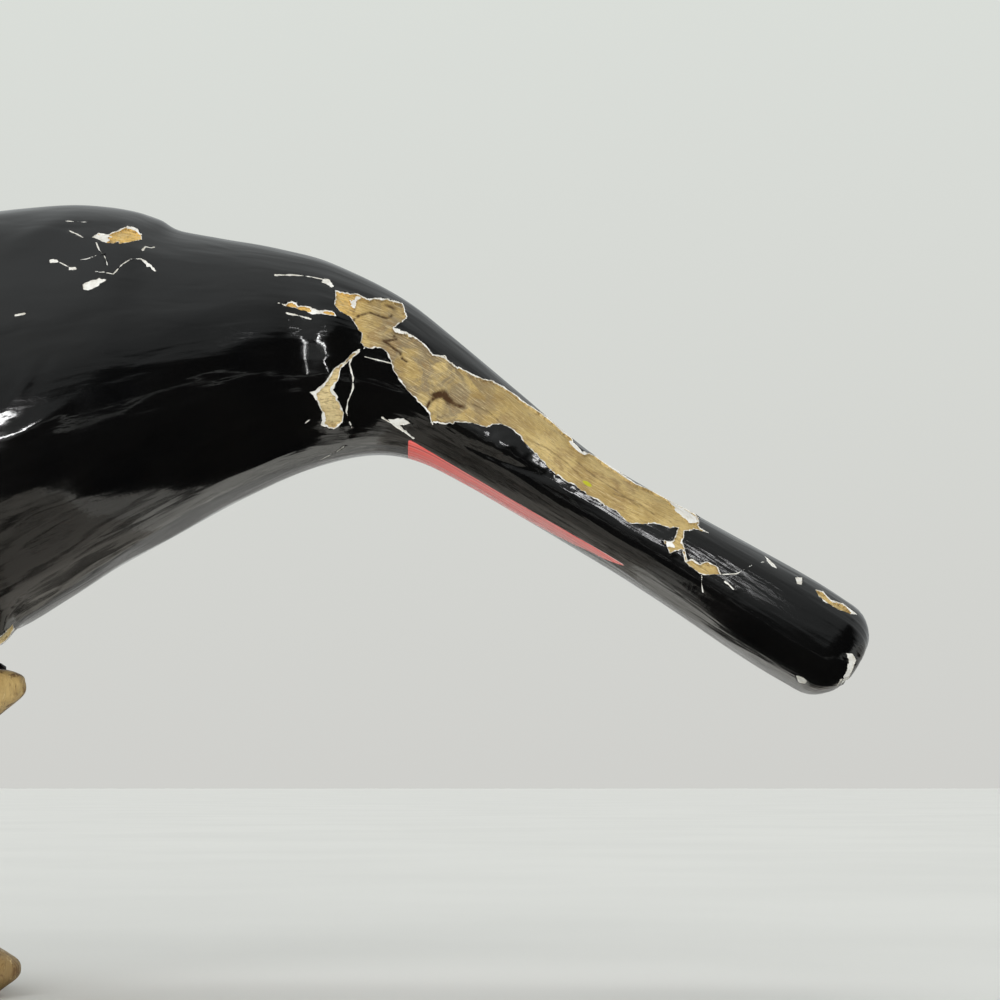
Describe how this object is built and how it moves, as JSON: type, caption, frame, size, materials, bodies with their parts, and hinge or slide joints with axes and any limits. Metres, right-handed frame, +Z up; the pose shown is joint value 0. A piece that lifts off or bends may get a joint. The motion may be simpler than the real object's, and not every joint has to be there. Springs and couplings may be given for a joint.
{
  "type": "papier-mache bird",
  "caption": "Life-size papier-mache toucan ornament, glossy black with a red under-tail and worn paint, perched on a tree-stump stand.",
  "frame": {"origin": "centre of the stump's flat underside", "axes": "+Z up, the bird's bill points to -X and its tail to +X, and the plane y = 0 is its mirror plane"},
  "size_m": [0.6089, 0.1216, 0.314],
  "materials": {
    "black_paint": "thick glossy black paint over white gesso, brushed and slightly lumpy",
    "bib_paint": "glossy yellow paint on the throat",
    "bill_paint": "glossy orange and black paint, brushed lengthways",
    "red_paint": "glossy red paint, streaked with pink where it is thin",
    "gesso": "matt white ground, showing as a thin broken edge round each loss",
    "kraft_paper": "bare glued brown paper, matt, fibrous and creased",
    "stump_paint": "tan paint with brown swirling strokes under a satin varnish",
    "eye_paint": "glossy painted eye in a bare-skin ring"
  },
  "bodies": {
    "root": {"bird": "black_paint", "stump": "stump_paint"}
  },
  "joints": []
}
